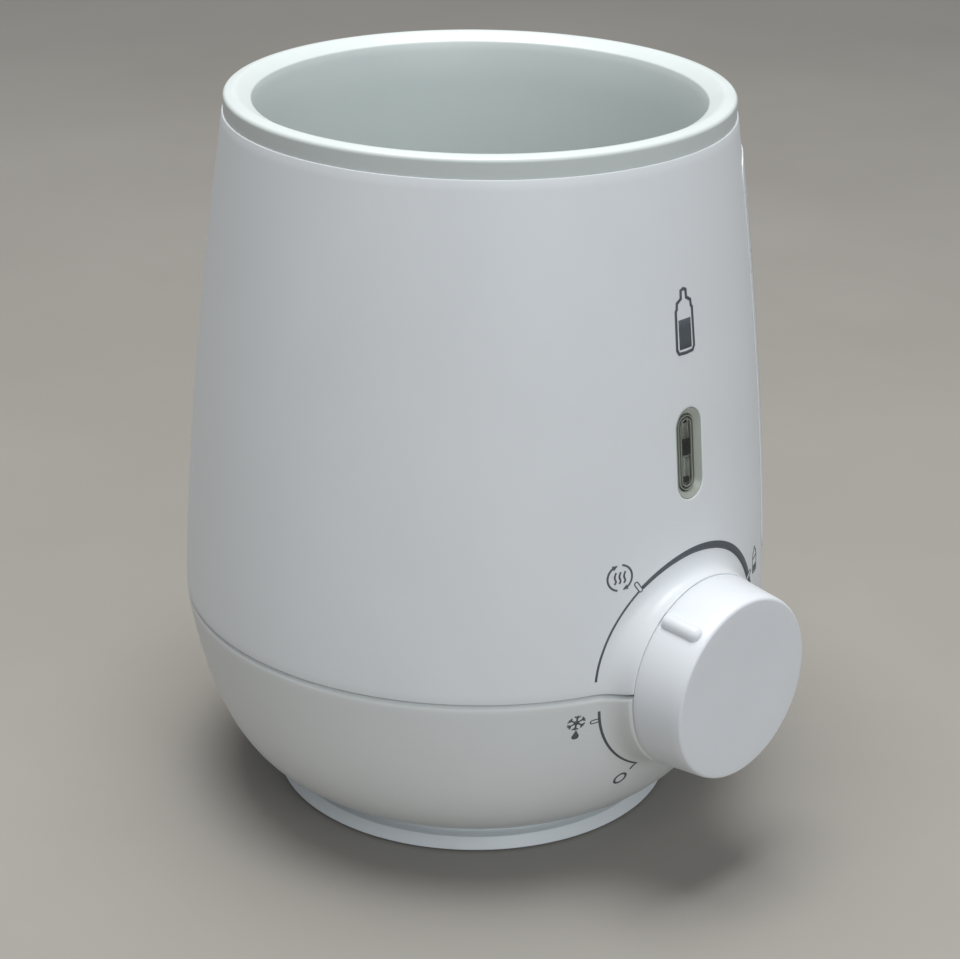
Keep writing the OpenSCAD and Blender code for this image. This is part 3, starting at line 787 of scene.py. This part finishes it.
def painted_shade_blocks():
    """Near-black boxes of painted shade behind the lens: one between the lights, two small ones above and
    below it, and a back sheet that paints the gaps between the ribs dark.
    """
    return [box_mesh(-2.6, 2.6, -1.2, 2.5, -5.4, -3.4), box_mesh(-1.6, 1.6, 6.4, 7.6, -3.3, -3.1),
            box_mesh(-1.8, 1.8, -7.3, -6.1, -3.3, -3.1), box_mesh(-3.2, 3.2, -9, 9, -6.6, -5.5)]


def painted_step_glints():
    """Two thin grey rims in the lens's steps, standing for the light lines at the step edges: painted
    highlights.
    """
    t, low, high = 0.3, -1.6, -0.95
    return [oblong_ring([(w, h, low), (w, h, high), (w - t, h - t, high), (w - t, h - t, low)])
            for w, h in ((5.0, 17.2), (3.5, 15.7))]


def make_window():
    """A sloped frame round a clear stepped lens, in front of a tube with a ribbed reflector in it."""
    pieces = [new_object("lens_bezel", oblong_ring(BEZEL_LEVELS), BEZEL_GREY, 30),
              new_object("lens_insert", oblong_loft(LENS_LEVELS), LENS_CLEAR, 25),
              new_object("light_tube_sleeve", oblong_ring(TUBE_LEVELS), TUBE_GREY, 30),
              new_object("light_reflector", join_blocks(reflector_ribs()), REFLECTOR),
              # near-black boxes behind the lens: painted shade
              new_object("light_shades", join_blocks(painted_shade_blocks()), DARK_PART_AND_SHADE),
              # grey rims in the lens's steps: painted highlights for the light lines at the step edges
              new_object("lens_rims", join_blocks(painted_step_glints()), BEZEL_GREY, 30)]
    for piece in pieces:
        piece.data.transform(window_matrix())
    return pieces


# ------ printed marks

INK_RAISE = 0.05 * MM


def ribbon(points, width, closed=False):
    """Left and right borders of a stroke along points (x, y). width is a number or one number a point."""
    p = np.array(points, float)
    n = len(p)
    widths = np.broadcast_to(np.asarray(width, float), n)
    if closed:
        ahead, behind = np.roll(p, -1, 0), np.roll(p, 1, 0)
    else:
        ahead = np.vstack([p[1:], 2 * p[-1] - p[-2]])
        behind = np.vstack([2 * p[0] - p[1], p[:-1]])
    d1 = p - behind
    d2 = ahead - p
    d1 /= np.linalg.norm(d1, axis=1)[:, None]
    d2 /= np.linalg.norm(d2, axis=1)[:, None]
    normal = np.stack([-(d1 + d2)[:, 1], (d1 + d2)[:, 0]], -1)
    normal /= np.linalg.norm(normal, axis=1)[:, None]
    miter = np.clip((normal * np.stack([-d1[:, 1], d1[:, 0]], -1)).sum(1), 0.5, 1)
    half = (widths / 2 / miter)[:, None]
    return p + normal * half, p - normal * half


def slab(rows, place, closed=False, lifts=(INK_RAISE, -INK_RAISE)):
    """A thin closed solid over a strip of rows of plane points, laid on a surface by place(x, y, lift), with
    its two faces at the two lifts."""
    count, length = len(rows), len(rows[0])
    verts = [place(x, y, lift) for lift in lifts for row in rows for x, y in row]
    size = count * length
    last = size - length
    steps = length if closed else length - 1
    faces = []
    for i in range(0, last, length):
        for k in range(steps):
            a, b = i + k, i + (k + 1) % length
            c, d = b + length, a + length
            faces += [(a, b, c, d), (size + d, size + c, size + b, size + a)]
    sides = []
    for k in range(steps):
        n = (k + 1) % length
        sides += [(n, k), (last + k, last + n)]
    if not closed:
        for i in range(0, last, length):
            sides += [(i, i + length), (i + 2 * length - 1, i + length - 1)]
    return verts, faces + [(a, b, size + b, size + a) for a, b in sides]


def stroke(points, width, place, closed=False):
    """A printed line along points, laid on a surface by place."""
    left, right = ribbon(points, width, closed)
    return slab([left, (left + right) / 2, right], place, closed)


def disc(x, y, r, place):
    """A filled round dot."""
    a = np.linspace(0, 2 * math.pi, 20, endpoint=False)
    ring = np.stack([np.cos(a), np.sin(a)], -1) * r
    return slab([ring + (x, y), ring * 0.02 + (x, y)], place, True)


def dial_place(x, y, lift):
    """x right and y up from the knob's axis, on the front of the housing."""
    return (x, -(front_depth(x, KNOB_Z + y) + lift), KNOB_Z + y)


def polar(radius, degrees, centre=(0, 0)):
    """The point at that distance and direction from the centre."""
    a = math.radians(degrees)
    return (centre[0] + radius * math.cos(a), centre[1] + radius * math.sin(a))


def degree_steps(a0, a1, step=2.0):
    """Angles in degrees from a0 to a1, about a step apart."""
    return np.linspace(a0, a1, max(2, int(abs(a1 - a0) / step) + 1))


def local(points, centre, size=1.0, turn=0.0):
    """Icon points in millimetres about its own middle, placed on the dial."""
    c, s = polar(1, turn)
    return [(centre[0] + (c * x - s * y) * size * MM, centre[1] + (s * x + c * y) * size * MM)
            for x, y in points]


def smooth_line(points, steps=6):
    """A smooth curve through points (Catmull-Rom)."""
    p = [np.array(q, float) for q in points]
    p = [2 * p[0] - p[1]] + p + [2 * p[-1] - p[-2]]
    out = []
    for i in range(1, len(p) - 2):
        for t in np.linspace(0, 1, steps, endpoint=False):
            out.append(tuple(0.5 * ((2 * p[i]) + (p[i + 1] - p[i - 1]) * t
                                    + (2 * p[i - 1] - 5 * p[i] + 4 * p[i + 1] - p[i + 2]) * t**2
                                    + (3 * p[i] - p[i - 1] - 3 * p[i + 1] + p[i + 2]) * t**3)))
    out.append(tuple(p[-2]))
    return out


DIAL_ANGLES = (-188, -170, -112, -38, 26, 60, 90, 122, 156, 172, 190)
DIAL_RADII = (26.3, 25.6, 25.7, 27.6, 28.0, 28.3, 28.4, 28.0, 27.0, 26.7, 25.9)


def dial_radius(degrees):
    """The scale's radius: a little wider above the knob than at the lower left."""
    return float(np.interp(degrees, DIAL_ANGLES, DIAL_RADII)) * MM


def scale_points(a0, a1):
    """Points along the scale."""
    return [polar(dial_radius(a), a) for a in degree_steps(a0, a1)]


# Where the dial's marks are, in degrees round from the right
KEEP_WARM = 123.5
BOTTLE = 26
OFF = -115.4
DEFROST = -165
JAR = -40.4


def tick(degrees, inner, outer):
    """A narrow ring-shaped mark across the scale, from inner to outer millimetres beyond it."""
    r = 0.475 * MM
    ux, uy = polar(1, degrees)
    line = []
    for beyond, start in ((outer, -90), (inner, 90)):
        x, y = polar(dial_radius(degrees) + beyond * MM, degrees)
        for a in np.linspace(start, start + 180, 7):
            c, s = polar(r, a)
            line.append((x + ux * c - uy * s, y + uy * c + ux * s))
    return line


def steam_lines(centre):
    """Three rising waves side by side."""
    wave = [(-0.22, -1.35), (0.12, -0.75), (-0.12, 0.0), (-0.1, 0.55), (0.22, 1.35)]
    return [local(smooth_line([(x + dx, y) for x, y in wave]), centre) for dx in (-1.12, 0, 1.12)]


def keep_warm_icon(place):
    """Heat waves in a circle of two arrows."""
    centre = (-20.5 * MM, 27.3 * MM)
    radius = 2.95 * MM
    sweep = 136
    parts = []
    for start in (256, 78):
        end = start - sweep
        shaft = [polar(radius, a, centre) for a in degree_steps(start, end, 6)]
        parts.append(stroke(shaft, 0.44 * MM, place))
        foot = np.array(polar(radius, end + 4, centre))
        tip = np.array(polar(radius, end - 20, centre))
        head = [foot, (foot * 0.4 + tip * 0.6), tip]
        parts.append(stroke(head, [1.15 * MM, 0.5 * MM, 0.05 * MM], place))
    parts += [stroke(line, 0.4 * MM, place) for line in steam_lines(centre)]
    return parts


def snowflake_icon(place):
    """A six-armed snowflake with a drop under it."""
    centre = (-29.7 * MM, -6.4 * MM)
    arm = 2.0 * MM
    branch = 0.85 * MM
    parts = []
    for a in (30, 90, 150):
        parts.append(stroke([polar(r * arm, a, centre) for r in (-1, 0, 1)], 0.36 * MM, place))
    for a in range(30, 390, 60):
        joint = polar(1.3 * MM, a, centre)
        parts.append(stroke([polar(branch, a - 50, joint), joint, polar(branch, a + 50, joint)],
                            0.32 * MM, place))
    parts.append(disc(*centre, 0.6 * MM, place))
    drop = (-29.3 * MM, -10.1 * MM)
    lean = 4
    half = [(0, 1.75), (0.3, 1.0), (0.66, 0.2), (0.78, -0.3), (0.5, -0.8), (0, -0.95)]
    right = smooth_line(half, 4)
    left = [(-x, y) for x, y in right]
    rows = [local(half_row, drop, 1.0, lean) for half_row in (right, [(0, y) for _, y in right], left)]
    parts.append(slab(rows, place))
    return parts


# Half outline of a feeding bottle, 6 mm tall, about its middle
BOTTLE_HALF = ((0, 3.1), (0.35, 2.95), (0.38, 2.2), (0.95, 1.85), (1.0, 1.3), (1.15, 1.1), (1.2, -2.6),
               (0.95, -3.0), (0, -3.05))


def bottle_icon(centre, size, width, place, level=-0.6, broad=1.0):
    """A bottle in outline, filled up to a level."""
    half = [(x * broad, y) for x, y in BOTTLE_HALF]
    loop = half + [(-x, y) for x, y in half[::-1][1:-1]]
    parts = [stroke(local(loop, centre, size), width, place, True)]
    side = 0.85 * broad
    heights = np.linspace(-2.65, level, 5)
    fill = [local([(x, y) for y in heights], centre, size) for x in np.linspace(-side, side, 7)]
    parts.append(slab(fill, place))
    return parts


def jar_icon(centre, size, width, place):
    """A food jar with its lid."""
    loop = [(-1.5, -2.0), (-1.5, 1.2), (-1.2, 1.5), (1.2, 1.5),
            (1.5, 1.2), (1.5, -2.0), (1.2, -2.3), (-1.2, -2.3)]
    lid = [(-1.3, 1.95), (1.3, 1.95)]
    return [stroke(local(loop, centre, size), width, place, True),
            stroke(local(lid, centre, size), 1.6 * width, place)]


# Each widening band of the scale: where it starts and stops, and its widths in millimetres
BANDS = ((KEEP_WARM - 1.3, BOTTLE + 1.4, (0.9, 1.65, 1.95)), (BOTTLE - 1.4, 3.5, (1.95, 2.0, 2.1)))
TICKS = ((DEFROST, 0.5, 1.35), (KEEP_WARM, 0.0, 1.9), (BOTTLE, -1.1, 1.6), (JAR, 1.2, 2.3))


def off_mark(place):
    """A short line across the scale's end and a plain ring beyond it."""
    end = dial_radius(OFF)
    middle = polar(30.4 * MM, -116.8)
    ring = [polar(1.45 * MM, a, middle) for a in degree_steps(0, 342, 18)]
    return [stroke([polar(end + r * MM, OFF) for r in (-0.25, 0.8, 1.9)], 0.5 * MM, place),
            stroke(ring, 0.56 * MM, place, True)]


def make_dial():
    """The printed scale round the knob and its symbols, as thin film on the housing."""
    place = dial_place
    thin = 0.47 * MM
    parts = [stroke(scale_points(DEFROST - 5.8, OFF), thin, place),
             stroke(scale_points(172.3, KEEP_WARM + 1.1), thin, place)]
    for start, stop, width in BANDS:
        band = scale_points(start, stop)
        wide = np.interp(np.linspace(0, 1, len(band)), (0, 0.45, 1), width) * MM
        parts.append(stroke(band, wide, place))
    parts.append(stroke(scale_points(-4.5, JAR), 2.2 * MM, place))
    parts += off_mark(place)
    parts += [stroke(tick(*values), 0.26 * MM, place, True) for values in TICKS]
    parts += keep_warm_icon(place)
    parts += snowflake_icon(place)
    bottle_at = (30.1 * MM, 14.5 * MM)
    parts += bottle_icon(bottle_at, 1.0, 0.32 * MM, place, -1.3, 1.3)
    parts.append(stroke(local([(-1.2, 0.45), (1.2, 0.75)], bottle_at), 0.32 * MM, place))
    parts += jar_icon((26.0 * MM, -20.5 * MM), 1.1, 0.36 * MM, place)
    return new_object("dial_print", join_blocks(parts), INK)


def make_front_mark():
    """A plain feeding bottle drawn where a maker would print a name."""
    centre = (0, 131.5 * MM - KNOB_Z)
    return new_object("front_mark", join_blocks(bottle_icon(centre, 2.3, 0.7 * MM, dial_place, 0.2)), INK)


# ------ the guide label

LABEL_FROM = math.radians(34)
LABEL_SWEEP = math.radians(78)
LABEL_LOW, LABEL_HIGH = (v.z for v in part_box("guide_label"))
LABEL_MIDDLE = 110 * MM
LABEL_GAP = 0.03 * MM
LABEL_LIFT = 0.28 * MM


def label_place(u, z, lift):
    """u from 0 to 1 across the label, z its height."""
    theta = LABEL_FROM + LABEL_SWEEP * u
    r = float(upper_radius(z)) + lift
    return (r * math.sin(theta), -r * math.cos(theta), z)


def label_rows():
    """Heights of the label's rows, close together at its rounded corners, and how far each row's ends
    step in."""
    corner = 5 * MM
    bend = [corner * (1 - math.cos(math.radians(a))) for a in range(0, 91, 15)]
    low = [LABEL_LOW + b for b in bend]
    high = [LABEL_HIGH - b for b in bend[::-1]]
    middle = list(np.linspace(low[-1], high[0], 26)[1:-1])
    heights = low + middle + high
    steps = []
    for z in heights:
        d = corner - min(z - LABEL_LOW, LABEL_HIGH - z, corner)
        steps.append(corner - math.sqrt(max(corner**2 - d**2, 0)))
    return heights, steps


def make_label():
    """The film, bent round the body, with rounded corners."""
    rows = []
    for z, step in zip(*label_rows()):
        inset = step / (float(upper_radius(z)) * LABEL_SWEEP)
        rows.append([(u, z) for u in np.linspace(inset, 1 - inset, 44)])
    film = slab(rows, label_place, lifts=(LABEL_LIFT, LABEL_GAP))
    return new_object("guide_label_film", film, LABEL_FILM, 40)


def make_label_print():
    """A table of plain pictures: bottles of rising size, and dots for how long each takes."""
    width = float(upper_radius(LABEL_MIDDLE)) * LABEL_SWEEP

    def place(x, y, lift):
        return label_place(0.5 + x / width, LABEL_MIDDLE + y, LABEL_LIFT + lift)

    parts = []
    half_w, half_h = 36 * MM, 40 * MM
    line = 0.35 * MM
    reach = half_w + 0.6 * line
    for y in np.linspace(-half_h, half_h, 6):
        parts.append(stroke([(x, y) for x in np.linspace(-reach, reach, 25)], line, place))
    for x in (-half_w, -half_w / 3, half_w / 3, half_w):
        parts.append(stroke([(x, y) for y in np.linspace(-half_h, half_h, 21)], line, place))
    step = 2 * half_h / 5
    for row in range(5):
        y = half_h - step * (row + 0.5)
        parts += bottle_icon((-half_w * 2 / 3, y), 0.9 + 0.25 * row, 0.35 * MM, place)
        for column, offset in ((0, 0.0), (1, half_w * 2 / 3)):
            for k in range(1 + row + column):
                x = offset + (k - (row + column) / 2) * 2.6 * MM
                parts.append(disc(x, y, 0.7 * MM, place))
    return new_object("guide_label_print", join_blocks(parts), LABEL_INK)


# ------ the cord gland

def make_gland():
    """A grooved bush with a rounded flange and a rounded mouth."""
    low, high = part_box("cord_gland")
    z = (low.z + high.z) / 2
    flange_r = (high.z - low.z) / 2
    hole = 3.2 * MM
    sleeve = 4.6 * MM
    collar_r = 5.4 * MM
    collar_end = low.y + 2 * MM
    face = high.y
    port = 67.6 * MM
    soft = 0.7 * MM
    mouth = 0.8 * MM
    profile = [(hole, low.y), (collar_r, low.y), (collar_r, collar_end), (sleeve, collar_end),
               (sleeve, port), (flange_r - 0.1 * MM, port), (flange_r, port + 0.3 * MM)]
    profile += arc(flange_r - soft, face - soft, soft, 0, 90, 5)
    profile += arc(hole + mouth, face - mouth, mouth, 90, 180, 5)
    gland = new_object("cord_gland_bush", revolve(profile, 64), GLAND_RUBBER, 40)
    gland.data.transform(Matrix.Translation((0, 0, z)) @ Matrix.Rotation(-math.pi / 2, 4, "X"))
    return gland


# ------ what stays as the CAD made it

CAD_FINISHES = (
    (RUBBER, ("foot_ring",)), (SILICONE, ("plate_seal",)), (HEATER_METAL, ("heater_element",)),
    (STEEL, ("base_screws", "housing_screws", "heater_bracket", "bracket_screws", "sensor_strap",
             "board_screws", "switch_nut", "knob_spring")),
    (SENSOR_DARK, ("thermal_fuse", "temperature_sensor")), (BOARD, ("control_board",)),
    (DARK_PART_AND_SHADE, ("board_components",)), (SWITCH_DARK, ("rotary_switch",)), (NYLON, ("switch_shaft",)),
    (BRASS, ("knob_insert",)), (LED_CLEAR, ("indicator_leds",)), (TERMINAL, ("terminal_block",)),
    (BROWN_LEAD, ("supply_leads",)), (PALE_LEAD, ("heater_leads",)))


def dress_cad_nodes():
    for mat, nodes in CAD_FINISHES:
        for node in nodes:
            mesh = frame["nodes"][node].data
            mesh.materials.clear()
            mesh.materials.append(mat)


# ------ stage, light and camera

def make_floor():
    """A pale matt surface for the object to stand on."""
    mat, tree, bsdf = new_material("floor_pale")
    mottle = noise(tree, 6, 4)
    paint(tree, bsdf, mottle, (0.31, 0.29, 0.265), (0.34, 0.32, 0.295))
    bsdf.inputs["Roughness"].default_value = 0.6
    half = 7.0
    verts = [(-half, -half, 0), (half, -half, 0), (half, half, 0), (-half, half, 0)]
    floor = new_object("floor", (verts, [(0, 1, 2, 3)]), mat)


def area_light(name, location, target, size, power, color):
    """A round lamp, size across, that points at the target."""
    data = bpy.data.lights.new(name, "AREA")
    data.shape = "DISK"
    data.size = size
    data.energy = power
    data.color = color
    light = add_object(name, data)
    light.location = location
    aim = Vector(target) - Vector(location)
    light.rotation_mode = "QUATERNION"
    light.rotation_quaternion = aim.to_track_quat("-Z", "Y")


def make_lights():
    """A big lamp overhead, a wider one in front to the left, and a dim even surround."""
    world = bpy.data.worlds.new("studio")
    bpy.context.scene.world = world
    world.use_nodes = True
    set_inputs(world.node_tree.nodes["Background"], {"Color": (0.90, 0.95, 1.0, 1), "Strength": 0.25})
    area_light("overhead", (0.0, 0.05, 1.25), (0, 0, 0.1), 0.8, 16, (1.0, 1.0, 0.98))
    area_light("front", (-0.5, -1.3, 0.75), (0, 0, 0.08), 1.1, 7.1, (0.93, 0.97, 1.0))


# Angles in radians, distances in metres, the lens in millimetres
CAMERA_TURN = 0.788
CAMERA_PITCH = 0.409
CAMERA_ROLL = 0.013
CAMERA_AWAY = 0.5404
CAMERA_HEIGHT = 0.3087
CAMERA_LENS = 91.66
CAMERA_BEARING = 0.786


def make_camera():
    """Looks down at the object from in front and to the left."""
    data = bpy.data.cameras.new("camera")
    data.sensor_width = 36
    data.lens = CAMERA_LENS
    cam = add_object("camera", data)
    bpy.context.scene.camera = cam
    away = Vector((math.sin(CAMERA_BEARING), math.cos(CAMERA_BEARING), 0)) * -CAMERA_AWAY
    turn = Matrix.Rotation(-CAMERA_TURN, 4, "Z")
    pitch = Matrix.Rotation(math.pi / 2 - CAMERA_PITCH, 4, "X")
    roll = Matrix.Rotation(CAMERA_ROLL, 4, "Z")
    cam.matrix_world = Matrix.Translation(away + Vector((0, 0, CAMERA_HEIGHT))) @ turn @ pitch @ roll
    data.clip_start = 0.01
    data.clip_end = 20


# ------ build

def put(obj, body, slot, *nodes):
    """Rides a piece on its body and hides the CAD nodes it stands for. slot, the finish it takes, is not
    used.
    """
    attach(obj, body)
    if nodes:
        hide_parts(*nodes)


make_camera()
dress_cad_nodes()
put(make_upper_housing(), BODY, "white_shell", "upper_housing")
put(make_lower_housing(), BODY, "lower_shell", "lower_housing")
put(make_tongue(), BODY, "lower_shell")
put(make_well(), BODY, "well_grey", "water_well")
put(make_plate(), BODY, "plate_coating", "heating_plate")
put(make_base(), BODY, "base_white", "base_plate")
put(make_knob(), KNOB, "knob_white", "knob_cap")
bezel, lens, tube, reflector, painted_shades, step_glints = make_window()
put(bezel, BODY, "lens_clear")
# the rims in the lens's steps are painted highlights
put(step_glints, BODY, "lens_clear")
put(lens, BODY, "lens_clear", "indicator_lens")
put(tube, BODY, "tube_grey", "light_tube")
put(reflector, BODY, "tube_grey")
# the boxes behind the lens are painted shade
put(painted_shades, BODY, "tube_grey")
put(make_dial(), BODY, None)
put(make_front_mark(), BODY, None)
put(make_label(), BODY, "label_film", "guide_label")
put(make_label_print(), BODY, None)
put(make_gland(), BODY, "gland_grey", "cord_gland")
make_floor()
make_lights()
bpy.context.scene.view_settings.view_transform = "Standard"
